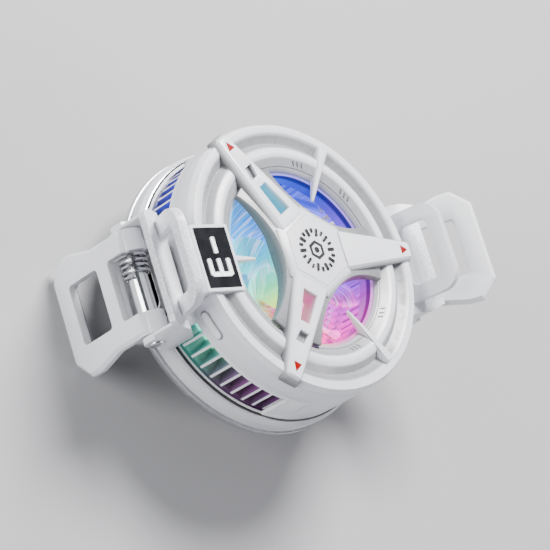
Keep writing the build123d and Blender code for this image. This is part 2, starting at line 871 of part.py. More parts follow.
def display_housing():
    """The display's frame on the bezel and the port's column down the side of the drum."""
    half = column_width / 2
    column = block(-column_face, -channel_radius, -half, half, column_bottom, housing_head_bottom)
    upright = column.edges().filter_by(Axis.Z).sort_by(Axis.X)[0:2]
    column = fillet(upright, column_round)
    frame_half = display_width / 2 + display_frame
    inner = -(display_inner_x - display_frame)
    head = side_slab([
        (inner, housing_head_bottom),
        (inner, display_top),
        (-(display_inner_x + display_length + display_frame), display_top),
        (-column_face, display_top - head_slope),
        (-column_face, housing_head_bottom),
    ], -frame_half, frame_half)
    shape = column + head
    cell = block(-(display_inner_x + display_length), -display_inner_x, -display_width / 2,
                 display_width / 2, display_top - display_glass_thickness - display_board_thickness,
                 display_top + overrun)
    shape -= cell
    recess = Plane.YZ * RectangleRounded(port_recess_width, port_recess_height, column_round)
    recess = Pos(-column_face - overrun, 0, port_z) * extrude(recess, amount=overrun + port_recess_depth)
    shape -= recess
    shape -= Pos(0, 0, port_z) * port_bar(port_width + 2 * seat_gap, port_height + 2 * seat_gap,
                                          -column_face, -channel_radius + overrun)
    slot = Plane.YZ * SlotOverall(slot_width, slot_height)
    shape -= Pos(-column_face - overrun, 0, slot_z) * extrude(slot, amount=overrun + slot_depth)
    return shape


def port_bar(width, height, start, stop):
    """The rounded section of the port, carried along X."""
    face = Plane.YZ * SlotOverall(width, height)
    return Pos(start, 0, 0) * extrude(face, amount=stop - start)


def port_and_boards():
    """Port shell with its tongue, main board, display board and display glass."""
    mouth = -column_face + port_recess_depth
    back = mouth + port_depth
    shell = port_bar(port_width, port_height, mouth, back)
    shell -= port_bar(port_width - 2 * port_wall, port_height - 2 * port_wall, mouth - overrun,
                      back - port_wall * 2)
    shell += block(back - port_tongue_length, back - port_wall, -port_tongue_width / 2,
                   port_tongue_width / 2, -port_tongue / 2, port_tongue / 2)
    save("usb_c_socket", Pos(0, 0, port_z) * shell)
    board_top = port_z - port_height / 2 - seat_gap / 5
    start = -channel_radius + main_board_setback
    save("main_board", block(start, start + main_board_length, -main_board_width / 2,
                             main_board_width / 2, board_top - main_board_thickness, board_top))
    x0 = -(display_inner_x + display_length) + seat_gap
    x1 = -display_inner_x - seat_gap
    half = display_width / 2 - seat_gap
    glass_bottom = display_top - display_glass_thickness
    save("display_window", block(x0, x1, -half, half, glass_bottom, display_top - seat_gap))
    save("display_board", block(x0, x1, -half, half, glass_bottom - display_board_thickness,
                                glass_bottom))


def mode_button():
    """A pill that stands a little proud of the drum wall."""
    outer = drum_radius + button_proud
    bar = button_blank(0, outer - button_depth - button_height, outer + button_height)
    return bar & ring(outer, outer - button_depth, button_z - button_height, button_z + button_height)


def button_switch():
    """The small switch behind the button, at the edge of the lamp board."""
    reach = drum_radius + button_proud - button_depth - button_travel - seat_gap
    body = block(lamp_board_outer + seat_gap, reach, -switch_length / 2, switch_length / 2,
                 button_z - switch_height / 2, button_z + switch_height / 2)
    return Rot(0, 0, button_angle) * body


def bracket_screw_places():
    return [(x, y) for x in (-bracket_screw_x, bracket_screw_x) for y in (-bracket_screw_y, bracket_screw_y)]


def clip_ring():
    """A steel ring with a tab on each side for the brackets."""
    plate = disc(clip_ring_outer, clip_bottom, stack_bottom)
    tabs = extrude(RectangleRounded(2 * tab_x, 2 * foot_half_width, tab_round), amount=clip_ring_thickness)
    plate += Pos(0, 0, clip_bottom) * tabs
    plate -= disc(clip_ring_inner, clip_bottom - overrun, stack_bottom + overrun)
    for x, y in bracket_screw_places():
        plate -= Pos(x, y, 0) * disc(screw_radius + bore_gap, clip_bottom - overrun, stack_bottom + overrun)
        plate -= Pos(x, y, 0) * disc(screw_head_radius + bore_gap, clip_bottom - overrun,
                                     clip_bottom + screw_head_height)
    return plate


def bracket_wall():
    """The wall at the +Y end of a bracket: a curved saddle on the drum and a flange with its ear."""
    inner_x = base_radius - saddle_inset
    saddle_y = bracket_screw_y
    shoulder_z = hinge_z + flange_shoulder
    wall = block(inner_x, saddle_x, saddle_y, bracket_half_width, saddle_bottom, shoulder_z)
    wall += block(inner_x, saddle_x, saddle_y, foot_half_width, stack_bottom, shoulder_z)
    wall += side_slab([
        (inner_x, saddle_bottom),
        (hinge_x, hinge_z - ear_radius),
        (hinge_x + ear_radius, hinge_z),
        (hinge_x + roof_under_reach, hinge_z + roof_under),
        (hinge_x + roof_bend_reach, hinge_z + roof_bend_top),
        (base_radius + roof_inner_reach, hinge_z + roof_inner_top),
        (inner_x, shoulder_z),
    ], bracket_half_width - flange_thickness, bracket_half_width)
    ear = Pos(hinge_x, bracket_half_width - flange_thickness / 2, hinge_z) * (
        Rot(90, 0, 0) * Cylinder(ear_radius, flange_thickness))
    return wall + ear


def bracket():
    """One bracket at +X: foot, end walls, roof with its ridge, and leaning loop."""
    half = bracket_half_width
    foot = block(clip_ring_inner, tab_x, -foot_half_width, foot_half_width,
                 stack_bottom, stack_bottom + foot_thickness)
    roof = side_slab([
        (base_radius + roof_inner_reach, hinge_z + roof_inner_under),
        (base_radius + roof_inner_reach, hinge_z + roof_inner_top),
        (hinge_x + roof_bend_reach, hinge_z + roof_bend_top),
        (hinge_x + ridge_reach, hinge_z + ridge_top),
        (hinge_x + ridge_lip_reach, hinge_z + ridge_lip_top),
        (hinge_x + roof_under_reach, hinge_z + roof_under),
    ], -half, half)
    wall = bracket_wall()
    shape = foot + roof + wall + mirror(wall, about=Plane.XZ)
    shape -= disc(base_radius + foot_gap, stack_bottom - overrun, base_top + foot_gap)
    shape -= disc(trim_radius + foot_gap, stack_bottom, drum_top)
    bend_x = hinge_x + roof_bend_reach
    lip_x = hinge_x + ridge_lip_reach
    for side in (-1, 1):
        corner = extrude(outline(
            (bend_x, side * half),
            (lip_x + seat_gap, side * ridge_half_width),
            (lip_x + overrun, side * ridge_half_width),
            (lip_x + overrun, side * (half + overrun)),
            (bend_x, side * (half + overrun)),
        ), amount=hinge_z)
        shape -= Pos(0, 0, hinge_z + ear_radius) * corner
        shape -= Pos(bracket_screw_x, side * bracket_screw_y, 0) * disc(
            screw_radius, stack_bottom - overrun, clip_bottom + bracket_screw_length)
    bore = Cylinder(pin_end_radius + bore_gap, 2 * half + overrun)
    return shape + loop() - Pos(hinge_x, 0, hinge_z) * (Rot(90, 0, 0) * bore)


def loop():
    """The leaning loop, with a window and two round top corners."""
    lean = radians(loop_lean)
    foot_z = hinge_z + loop_foot_rise
    plane = Plane(origin=(base_radius + loop_foot_reach, 0, foot_z), x_dir=(0, 1, 0),
                  z_dir=(cos(lean), 0, -sin(lean)))
    span = (loop_rise - loop_foot_rise) / cos(lean)
    tall = span + loop_round
    face = Pos(0, span - tall / 2) * RectangleRounded(2 * loop_half_width, tall, loop_round)
    window_tall = span - loop_bar - loop_sill
    window = Pos(0, loop_sill + window_tall / 2) * RectangleRounded(
        2 * (loop_half_width - loop_bar), window_tall, loop_inner_round)
    frame = extrude(plane * (face - window), amount=loop_thickness / 2, both=True)
    return frame - block(0, hinge_x + overrun, -bracket_half_width, bracket_half_width, 0, foot_z)


def hinge_pin():
    """A polished pin with thinner ends and a head at each, in the hinge's own frame."""
    half = bracket_half_width
    pin = Cylinder(pin_radius, 2 * (half - flange_thickness - bore_gap)) + Cylinder(pin_end_radius, 2 * half)
    for side in (-1, 1):
        head = Cylinder(pin_head_radius, pin_head_thickness)
        pin += Pos(0, 0, side * (half + pin_head_thickness / 2)) * head
    ends = pin.faces().sort_by(Axis.Z)
    pin = chamfer(ends[0].edges() + ends[-1].edges(), pin_head_thickness / 3)
    return Rot(90, 0, 0) * pin


def biarc(start, start_way, end, end_way):
    """Two arcs from one point and direction to another."""
    span = end - start
    both = start_way + end_way
    a = both.dot(both) - 4
    b = -2 * span.dot(both)
    c = span.dot(span)
    reach = (-b - sqrt(b * b - 4 * a * c)) / (2 * a)
    first = start + start_way * reach
    second = end - end_way * reach
    middle = (first + second) / 2
    return [
        TangentArc(start, middle, tangent=start_way),
        TangentArc(middle, end, tangent=(second - first).normalized()),
    ]


def spring_point(turn, radius, pitch):
    angle = 2 * pi * turn
    return Vector(radius * cos(angle), -pitch * turn, radius * sin(angle))


def spring_way(turn, radius, pitch):
    angle = 2 * pi * turn
    return Vector(-2 * pi * radius * sin(angle), -pitch, 2 * pi * radius * cos(angle)).normalized()


def spring():
    """A torsion spring round the pin with two straight legs, as one unbroken wire."""
    radius = pin_radius + spring_clearance + spring_wire / 2
    pitch = spring_wire + spring_gap
    stops = [half_turn / 2 for half_turn in range(2 * spring_turns + 1)]
    start_way = spring_way(0, radius, pitch)
    start = spring_point(0, radius, pitch)
    edges = [Line(start - start_way * spring_leg, start)]
    for here, there in zip(stops, stops[1:]):
        edges += biarc(spring_point(here, radius, pitch), spring_way(here, radius, pitch),
                       spring_point(there, radius, pitch), spring_way(there, radius, pitch))
    end = spring_point(stops[-1], radius, pitch)
    end_way = spring_way(stops[-1], radius, pitch)
    edges.append(Line(end, end + end_way * spring_leg))
    path = Wire(edges)
    section = Plane(origin=path @ 0, z_dir=path % 0) * RegularPolygon(spring_wire / 2, spring_sides)
    coil = sweep(section, path=path)
    samples = [path @ (index / spring_samples) for index in range(spring_samples + 1)]
    apart = [(a - b).length for i, a in enumerate(samples) for b in samples[i + spring_sample_skip:]]
    print("spring least gap", round(min(apart) - spring_wire, 3),
          "volume share", round(coil.volume / (path.length * section.area), 4))
    return Pos(0, jaw_window_half_width - spring_wire, 0) * coil


def jaw_outline(inset):
    """The plate in Y and Z, narrow at the hinge and cut at its corners, drawn in by an inset."""
    neck = jaw_neck_half_width - inset
    wide = jaw_half_width - inset
    end = jaw_length - inset
    tip = wide - jaw_corner_width
    half = [(neck, jaw_top_reach), (neck, -jaw_neck_end), (wide, -jaw_flare_end),
            (wide, jaw_corner_length - end), (tip, -end)]
    return Plane.YZ * outline(*half, *[(-y, z) for y, z in reversed(half)])


def jaw_window(grow):
    """The long window near the jaw's end, as a face in Y and Z."""
    tall = jaw_window_end - jaw_window_start + 2 * grow
    wide = 2 * (jaw_window_half_width + grow)
    middle = (jaw_window_start + jaw_window_end) / 2
    return Plane.YZ * (Pos(0, -middle) * RectangleRounded(wide, tall, jaw_window_round))


def jaw():
    """One jaw, hanging closed from a hinge axis along Y at the origin, outside towards +X."""
    inner_face = jaw_offset - jaw_thickness / 2
    outer_face = jaw_offset + jaw_thickness / 2
    plate = Pos(inner_face, 0, 0) * extrude(jaw_outline(0), amount=jaw_thickness)
    plate = chamfer(plate.faces().sort_by(Axis.X)[-1].edges(), jaw_bevel)
    tip = jaw_half_width - jaw_corner_width
    hook = side_slab([
        (inner_face - hook_reach, -jaw_length + jaw_bevel),
        (inner_face - hook_reach + jaw_bevel, -jaw_length),
        (outer_face - jaw_bevel, -jaw_length),
        (inner_face + jaw_thickness / 4, -jaw_length + hook_thickness),
        (inner_face - hook_reach, -jaw_length + hook_thickness),
    ], -tip, tip)
    barrel = Rot(90, 0, 0) * Cylinder(knuckle_radius, 2 * jaw_neck_half_width)
    shape = plate + hook + barrel
    shape -= Pos(inner_face - overrun, 0, 0) * extrude(jaw_window(0), amount=jaw_thickness + 2 * overrun)
    inner_tall = jaw_crossbar_start + knuckle_radius + overrun
    inner = Plane.YZ * (Pos(0, inner_tall / 2 - jaw_crossbar_start) * RectangleRounded(
        2 * jaw_window_half_width, inner_tall, jaw_window_round))
    shape -= Pos(-knuckle_radius - overrun, 0, 0) * extrude(inner, amount=2 * (knuckle_radius + overrun))
    return shape - Rot(90, 0, 0) * Cylinder(pin_radius + 2 * bore_gap, 2 * jaw_half_width)


def grip_pad():
    """A rubber frame on the inner face of the jaw, round its window."""
    inner_face = jaw_offset - jaw_thickness / 2
    pad = Pos(inner_face - grip_thickness, 0, 0) * extrude(jaw_outline(grip_inset), amount=grip_thickness)
    side = jaw_half_width
    pad -= block(-overrun, side, -side, side, -jaw_crossbar_start - grip_inset, side)
    pad -= block(-overrun, side, -side, side, -jaw_length - overrun, -jaw_length + hook_thickness + seat_gap)
    return pad - Pos(inner_face - overrun, 0, 0) * extrude(jaw_window(grip_thickness / 2), amount=2 * overrun)


cooling_stack()
save("heat_sink", heat_sink())
save("base_ring", base_ring())
save("magnets", magnets())
save("plate_screws", [around(90 * quarter, plate_screw_circle) * screw(plate_bottom, plate_screw_length)
                      for quarter in range(4)])
save("case_screws", [around(angle, boss_circle) * screw(stack_bottom, case_screw_length)
                     for angle in boss_angles()])
save("trim_ring", trim_ring())
save("drum_shell", drum_shell())
for number, (start, stop) in enumerate(vent_spans(), 1):
    save(f"vent_frame_{number}", vent_frame(start, stop))
cover = bezel()
save("bezel", cover)
save("guard_star", guard_star(cover))
save("hub_badge", hub_badge())
save("tip_inlays", [Rot(0, 0, guard_step * index) * inlay(inlay_depth, inlay_proud)
                    for index in range(arm_count)])
save("guard_fins", [guard_fin(cover, 60 + guard_step * index) for index in range(arm_count)])
save("light_ring", ring(opening_radius - seat_gap, opening_radius - light_ring_wall,
                        arm_foot - seat_gap - light_ring_height, arm_foot - seat_gap))
save("led_board", lamp_board())
save("impeller", impeller())
motor()
save("display_housing", display_housing())
port_and_boards()
save("mode_button", mode_button())
save("button_switch", button_switch())
save("clip_ring", clip_ring())
for side, turn in (("left", 180), ("right", 0)):
    place = Rot(0, 0, turn)
    hinge = place * Pos(hinge_x, 0, hinge_z)
    swing = Rot(0, -open_angle if side == "right" else 0, 0)
    coil = spring()
    save(f"{side}_bracket", place * bracket())
    save(f"{side}_hinge_pin", hinge * hinge_pin())
    save(f"{side}_jaw_spring", hinge * (coil if side == "right" else mirror(coil, about=Plane.XZ)))
    save(f"{side}_jaw", hinge * swing * jaw())
    save(f"{side}_grip_pad", hinge * swing * grip_pad())
save("bracket_screws", [Pos(x, y, 0) * screw(clip_bottom, bracket_screw_length)
                        for x, y in bracket_screw_places()])

for name, shape in solids.items():
    if isinstance(shape, list):
        shape = Compound(children=[piece for part in shape for piece in part.solids()])
    export_step(shape, f"parts/{name}.step")
print("nodes", len(solids))
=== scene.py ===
import json
from math import atan2, cos, pi, radians, sin, tan

import bpy
from mathutils import Matrix, Vector


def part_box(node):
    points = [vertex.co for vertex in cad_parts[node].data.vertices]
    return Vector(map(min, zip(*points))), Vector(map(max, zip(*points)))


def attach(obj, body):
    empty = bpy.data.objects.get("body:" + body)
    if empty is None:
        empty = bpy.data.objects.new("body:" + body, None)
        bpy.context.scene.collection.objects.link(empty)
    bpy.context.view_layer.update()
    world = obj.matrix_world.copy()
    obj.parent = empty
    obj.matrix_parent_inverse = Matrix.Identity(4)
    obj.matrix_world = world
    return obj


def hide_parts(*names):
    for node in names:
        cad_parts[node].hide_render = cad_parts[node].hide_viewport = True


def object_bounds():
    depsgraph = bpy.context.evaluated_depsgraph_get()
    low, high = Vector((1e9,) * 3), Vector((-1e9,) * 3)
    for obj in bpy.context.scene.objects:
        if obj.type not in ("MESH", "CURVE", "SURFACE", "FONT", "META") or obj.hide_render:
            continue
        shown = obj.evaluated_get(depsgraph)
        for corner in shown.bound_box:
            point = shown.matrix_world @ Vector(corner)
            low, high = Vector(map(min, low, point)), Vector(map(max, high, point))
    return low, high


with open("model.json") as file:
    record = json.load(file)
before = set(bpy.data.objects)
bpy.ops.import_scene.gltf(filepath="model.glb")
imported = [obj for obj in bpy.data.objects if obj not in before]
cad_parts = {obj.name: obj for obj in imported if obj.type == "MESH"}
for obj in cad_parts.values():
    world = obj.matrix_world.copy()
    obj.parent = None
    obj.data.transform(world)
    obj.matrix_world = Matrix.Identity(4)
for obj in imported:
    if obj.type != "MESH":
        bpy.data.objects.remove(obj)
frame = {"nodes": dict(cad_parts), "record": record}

# Everything is in metres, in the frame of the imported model. The contact face
# of the thermal pad is at z = 0, the display faces -X and +Z points out of
# the front of the fan.
cad_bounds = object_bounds()
mm = 0.001
nodes = frame["nodes"]

drum_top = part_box("drum_shell")[1][2]
guard_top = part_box("guard_star")[1][2]
badge_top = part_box("hub_badge")[1][2]
trim_radius, _, trim_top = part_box("trim_ring")[1]
trim_proud = 0.35 * mm
drum_radius = trim_radius - trim_proud
display_low, display_high = [Vector(corner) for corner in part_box("display_window")]
button_low, button_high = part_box("mode_button")[0][2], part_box("mode_button")[1][2]
floor_gap = 0.02 * mm
floor_level = cad_bounds[0][2] - floor_gap

# The bezel's inner slope, which falls towards the opening
lip_radius = 18.9 * mm
lip_rise = 0.5 * mm
lip_slope = atan2(0.7, 1.35)

# The guard's arms, whose upper faces fall from the hub to the tips, and the
# slits in two of them
arm_root_radius = 7.5 * mm
arm_tip_radius = 28.9 * mm
arm_fall = 1.7 * mm
slit_angles = (120, -120)
slit_middle = 13.1 * mm
slit_half_length = 3.55 * mm
slit_half_width = 1.9 * mm

# The button's place round the drum, as a share of a turn that starts at -180 degrees
button_turn = 24.0 / 360
button_half_length = 2.9 * mm

# Where the roof of each bracket starts, by its distance from the middle and its height
roof_start = 34.4 * mm
roof_foot = 11.0 * mm
roof_half_width = 9.4 * mm

# Radii in the air opening and behind the windows
swirl_radius = 20.6 * mm
swirl_end_radius = 22.0 * mm
fin_lit_radius = 23.0 * mm
fin_dark_radius = 27.0 * mm
fin_edge_radius = 27.18 * mm

black = (0.0, 0.0, 0.0)
white = (1.0, 1.0, 1.0)


# Node helpers

class Shader:
    """A new material with its principled shader and short calls for the nodes around it."""

    def __init__(self, name):
        self.material = bpy.data.materials.new(name)
        self.material.use_nodes = True
        self.tree = self.material.node_tree
        self.tree.nodes.clear()
        self.shader = self.tree.nodes.new("ShaderNodeBsdfPrincipled")
        self.output = self.tree.nodes.new("ShaderNodeOutputMaterial")
        self.link(self.shader.outputs["BSDF"], self.output.inputs["Surface"])
        self.place = self.tree.nodes.new("ShaderNodeTexCoord").outputs["Object"]

    def link(self, start, end):
        self.tree.links.new(start, end)

    def set(self, **values):
        for name, value in values.items():
            self.shader.inputs[name.replace("_", " ")].default_value = value

    def feed(self, name, socket):
        self.link(socket, self.shader.inputs[name])

    def noise(self, scale, detail=3.0, roughness=0.55, stretch=None):
        node = self.tree.nodes.new("ShaderNodeTexNoise")
        node.inputs["Scale"].default_value = scale
        node.inputs["Detail"].default_value = detail
        node.inputs["Roughness"].default_value = roughness
        place = self.place
        if stretch:
            mapping = self.tree.nodes.new("ShaderNodeMapping")
            mapping.inputs["Scale"].default_value = stretch
            self.link(place, mapping.inputs["Vector"])
            place = mapping.outputs["Vector"]
        self.link(place, node.inputs["Vector"])
        return node.outputs["Fac"]

    def ramp(self, factor, stops, smooth=False):
        node = self.tree.nodes.new("ShaderNodeValToRGB")
        node.color_ramp.interpolation = "EASE" if smooth else "LINEAR"
        elements = node.color_ramp.elements
        while len(elements) < len(stops):
            elements.new(0.5)
        for element, (position, colour) in zip(elements, stops):
            element.position = position
            element.color = (*colour, 1.0) if len(colour) == 3 else colour
        self.link(factor, node.inputs["Fac"])
        return node.outputs["Color"]

    def math(self, operation, first, second=None, clamp=False):
        node = self.tree.nodes.new("ShaderNodeMath")
        node.operation = operation
        node.use_clamp = clamp
        for socket, value in zip(node.inputs, (first, second)):
            if value is None:
                continue
            if isinstance(value, (int, float)):
                socket.default_value = value
            else:
                self.link(value, socket)
        return node.outputs["Value"]

    def spread(self, factor, low, high, to_low, to_high):
        """Maps a range of values to another one and stays within it."""
        node = self.tree.nodes.new("ShaderNodeMapRange")
        node.inputs["From Min"].default_value = low
        node.inputs["From Max"].default_value = high
        node.inputs["To Min"].default_value = to_low
        node.inputs["To Max"].default_value = to_high
        self.link(factor, node.inputs["Value"])
        return node.outputs["Result"]

    def mix(self, factor, first, second, blend="MIX"):
        node = self.tree.nodes.new("ShaderNodeMix")
        node.data_type = "RGBA"
        node.blend_type = blend
        # A mix node's colours are its inputs 6 and 7 and its output 2
        for index, value in ((0, factor), (6, first), (7, second)):
            socket = node.inputs[index]
            if isinstance(value, (int, float)):
                socket.default_value = value
            elif isinstance(value, tuple):
                socket.default_value = (*value, 1.0)
            else:
                self.link(value, socket)
        return node.outputs[2]

    def bump(self, height, strength, distance):
        node = self.tree.nodes.new("ShaderNodeBump")
        node.inputs["Strength"].default_value = strength
        node.inputs["Distance"].default_value = distance
        self.link(height, node.inputs["Height"])
        self.feed("Normal", node.outputs["Normal"])

    def axes(self):
        node = self.tree.nodes.new("ShaderNodeSeparateXYZ")
        self.link(self.place, node.inputs["Vector"])
        return node.outputs["X"], node.outputs["Y"], node.outputs["Z"]

    def turn_share(self):
        """The angle round the fan's axis, from 0 at -180 degrees to 1 at +180 degrees."""
        x, y, _ = self.axes()
        angle = self.math("ARCTAN2", y, x)
        return self.math("ADD", self.math("DIVIDE", angle, 2 * pi), 0.5)

    def radius(self):
        """The distance from the fan's axis."""
        x, y, _ = self.axes()
        square = self.math("ADD", self.math("MULTIPLY", x, x), self.math("MULTIPLY", y, y))
        return self.math("SQRT", square)


# Materials

def grey(level):
    """A very slightly cool grey."""
    return (level, level, level * 1.02)


def moulded_plastic(name, colour, shade, roughness=0.36, grain=1.0, shade_or_grain=None, glow=None):
    """Satin moulded plastic with faint flow clouds and a fine spark-eroded grain."""
    look = Shader(name)
    clouds = look.noise(90.0, 4.0)
    base = look.ramp(clouds, [(0.3, shade), (0.7, colour)], smooth=True)
    if shade_or_grain:
        base = look.mix(1.0, base, shade_or_grain(look), "MULTIPLY")
    look.feed("Base Color", base)
    matt = look.noise(700.0, 3.0)
    look.feed("Roughness", look.spread(matt, 0.3, 0.7, roughness - 0.05, roughness + 0.07))
    look.set(Specular_IOR_Level=0.5, Coat_Weight=0.12, Coat_Roughness=0.2)
    look.bump(look.noise(5200.0, 2.0), 0.10 * grain, 0.02 * mm)
    if glow:
        glow(look)
    return look.material


def painted_groove_shade(look):
    """Painted shade: the white rim and ridge lie between greyer bands in the bezel's grooves and
    slopes, by the distance from the axis.
    """
    inner, outer = 18.0, 28.0
    bands = [(18.3, 0.60), (19.1, 0.46), (20.7, 0.42), (21.2, 0.98), (22.7, 1.0), (23.3, 0.42),
             (25.6, 0.33), (26.3, 0.86), (27.9, 1.0)]
    share = look.spread(look.radius(), inner * mm, outer * mm, 0.0, 1.0)
    return look.ramp(share, [((radius - inner) / (outer - inner), grey(level))
                             for radius, level in bands])


def painted_flank_shade(look):
    """Painted shade: greyer flanks below the bright upper faces of the guard's hub and arms."""
    z = look.axes()[2]
    upper_face = look.spread(look.radius(), arm_root_radius, arm_tip_radius,
                             guard_top, guard_top - arm_fall)
    depth = look.math("SUBTRACT", upper_face, z)
    return look.ramp(look.spread(depth, 0.0, 2.0 * mm, 0.0, 1.0),
                     [(0.06, grey(1.0)), (0.16, grey(0.88)), (0.34, grey(0.40)), (1.0, grey(0.20))])


def painted_column_shade(look):
    """Painted shade: the column under the display is greyer than its frame."""
    z = look.axes()[2]
    frame_foot = display_low.z - 3.2 * mm
    rise = look.spread(z, frame_foot, frame_foot + 2.4 * mm, 0.0, 1.0)
    return look.ramp(rise, [(0.0, grey(0.40)), (1.0, grey(1.0))])


def grained_roof(look):
    """A coarse grain on the sloping roof of each bracket, between the hinge and the loop."""
    x, y, z = look.axes()
    inner = look.spread(look.math("ABSOLUTE", y), roof_half_width, roof_half_width + 0.8 * mm,
                        1.0, 0.0)
    high = look.spread(z, roof_foot, roof_foot + 2.0 * mm, 0.0, 1.0)
    far = look.spread(look.math("ABSOLUTE", x), roof_start, roof_start + 0.4 * mm, 0.0, 1.0)
    amount = look.math("MULTIPLY", look.math("MULTIPLY", inner, high), far)
    grain = look.ramp(look.noise(2400.0, 4.0, 0.7),
                      [(0.36, grey(0.62)), (0.5, grey(0.86)), (0.64, grey(1.0))])
    return look.mix(amount, white, grain)


def painted_button_shadow(look):
    """Painted shadow: a dark line on the drum round the button, in place of the shade in the gap
    round it.
    """
    z = look.axes()[2]
    edge = (button_high - button_low) / 2
    turn = look.math("MULTIPLY", look.math("SUBTRACT", look.turn_share(), button_turn),
                     2 * pi * drum_radius)
    across = look.math("SUBTRACT", look.math("ABSOLUTE", turn), button_half_length - edge)
    up = look.math("SUBTRACT", z, (button_low + button_high) / 2)
    beyond = look.math("MAXIMUM", across, 0.0)
    distance = look.math("SQRT", look.math("ADD", look.math("MULTIPLY", beyond, beyond),
                                           look.math("MULTIPLY", up, up)))
    share = look.spread(distance, edge - 0.1 * mm, edge + 0.6 * mm, 0.0, 1.0)
    return look.ramp(share, [(0.0, grey(0.12)), (0.42, grey(0.16)), (0.62, grey(0.85)),
                             (1.0, grey(1.0))])


def brushed_metal(name, colour, shade, roughness, stretch=(400.0, 400.0, 9000.0)):
    """Metal with fine drawn lines, which run across the axis with the largest stretch."""
    look = Shader(name)
    lines = look.noise(1.0, 3.0, stretch=stretch)
    look.feed("Base Color", look.ramp(lines, [(0.25, shade), (0.75, colour)]))
    look.feed("Roughness", look.spread(lines, 0.2, 0.8, roughness - 0.06, roughness + 0.08))
    look.set(Metallic=1.0)
    look.bump(lines, 0.12, 0.01 * mm)
    return look.material


def polished_metal(name, colour, shade, roughness=0.1):
    """Bright metal with faint stains and a little wear in its gloss."""
    look = Shader(name)
    stain = look.noise(260.0, 5.0)
    look.feed("Base Color", look.ramp(stain, [(0.3, shade), (0.7, colour)]))
    wear = look.noise(1400.0, 4.0)
    look.feed("Roughness", look.spread(wear, 0.3, 0.8, roughness, roughness + 0.12))
    look.set(Metallic=1.0)
    return look.material


def soft_rubber(name, colour, shade):
    """Matt rubber with a finely pitted surface."""
    look = Shader(name)
    look.feed("Base Color", look.ramp(look.noise(500.0, 5.0), [(0.3, shade), (0.7, colour)]))
    look.feed("Roughness", look.spread(look.noise(1800.0, 3.0), 0.3, 0.7, 0.62, 0.8))
    look.set(Specular_IOR_Level=0.35, Sheen_Weight=0.15, Sheen_Roughness=0.5)
    look.bump(look.noise(3600.0, 4.0), 0.25, 0.03 * mm)
    return look.material


# Colours of the lamps round the opening, as shares of a turn that starts at -180 degrees
glow_stops = [
    (0.00, (0.08, 0.80, 0.85)),
    (0.08, (0.22, 0.88, 0.60)),
    (0.15, (0.55, 0.90, 0.22)),
    (0.20, (0.85, 0.80, 0.16)),
    (0.25, (0.98, 0.45, 0.28)),
    (0.28, (1.00, 0.14, 0.44)),
    (0.35, (1.00, 0.06, 0.56)),
    (0.42, (0.90, 0.06, 0.76)),
    (0.47, (0.50, 0.08, 0.92)),
    (0.52, (0.24, 0.08, 0.90)),
    (0.58, (0.18, 0.06, 0.82)),
    (0.63, (0.07, 0.09, 0.80)),
    (0.76, (0.02, 0.11, 0.78)),
    (0.85, (0.03, 0.35, 0.90)),
    (0.93, (0.04, 0.62, 0.92)),
    (1.00, (0.08, 0.80, 0.85)),
]
# Colours of the painted light that the lamps throw on the fins behind the side openings
fin_stops = [
    (0.00, (0.02, 0.30, 0.70)),
    (0.055, (0.06, 0.62, 0.48)),
    (0.095, (0.07, 0.48, 0.42)),
    (0.120, (0.16, 0.12, 0.24)),
    (0.15, (0.20, 0.02, 0.22)),
    (0.18, (0.09, 0.00, 0.12)),
    (0.24, (0.02, 0.00, 0.03)),
    (0.33, (0.40, 0.02, 0.34)),
    (0.45, (0.24, 0.08, 0.70)),
    (0.62, (0.08, 0.06, 0.70)),
    (0.75, (0.02, 0.04, 0.60)),
    (0.86, (0.01, 0.01, 0.62)),
    (0.93, (0.01, 0.03, 0.80)),
    (1.00, (0.02, 0.30, 0.70)),
]


def arcs_of_light(look, radius, per_metre, spread):
    """Fine arcs round the axis, as the turning blades draw them."""
    x, y, _ = look.axes()
    polar = look.tree.nodes.new("ShaderNodeCombineXYZ")
    look.link(look.math("MULTIPLY", radius, per_metre), polar.inputs["X"])
    look.link(look.math("MULTIPLY", look.math("DIVIDE", x, radius), spread), polar.inputs["Y"])
    look.link(look.math("MULTIPLY", look.math("DIVIDE", y, radius), spread), polar.inputs["Z"])
    arcs = look.tree.nodes.new("ShaderNodeTexNoise")
    arcs.inputs["Scale"].default_value = 1.0
    arcs.inputs["Detail"].default_value = 4.0
    look.link(polar.outputs["Vector"], arcs.inputs["Vector"])
    return arcs.outputs["Fac"]


def painted_lamp_light_in_slits(look):
    """Painted light: the walls of the slits in two of the guard's arms glow in the lamps' colour.
    """
    x, y, z = look.axes()
    within = None
    for angle in slit_angles:
        along = look.math("ADD", look.math("MULTIPLY", x, cos(radians(angle))),
                          look.math("MULTIPLY", y, sin(radians(angle))))
        aside = look.math("ADD", look.math("MULTIPLY", x, -sin(radians(angle))),
                          look.math("MULTIPLY", y, cos(radians(angle))))
        from_middle = look.math("ABSOLUTE", look.math("SUBTRACT", along, slit_middle))
        narrow = look.math("LESS_THAN", look.math("ABSOLUTE", aside), slit_half_width)
        long = look.math("LESS_THAN", from_middle, slit_half_length)
        part = look.math("MULTIPLY", narrow, long)
        within = part if within is None else look.math("ADD", within, part)
    deep = look.spread(z, guard_top - 1.8 * mm, guard_top - 0.5 * mm, 1.0, 0.0)
    amount = look.math("MULTIPLY", within, deep)
    ahead = look.math("ADD", look.turn_share(), 0.11)
    look.feed("Emission Color", look.mix(amount, black, look.ramp(ahead, glow_stops)))
    look.set(Emission_Strength=0.8)


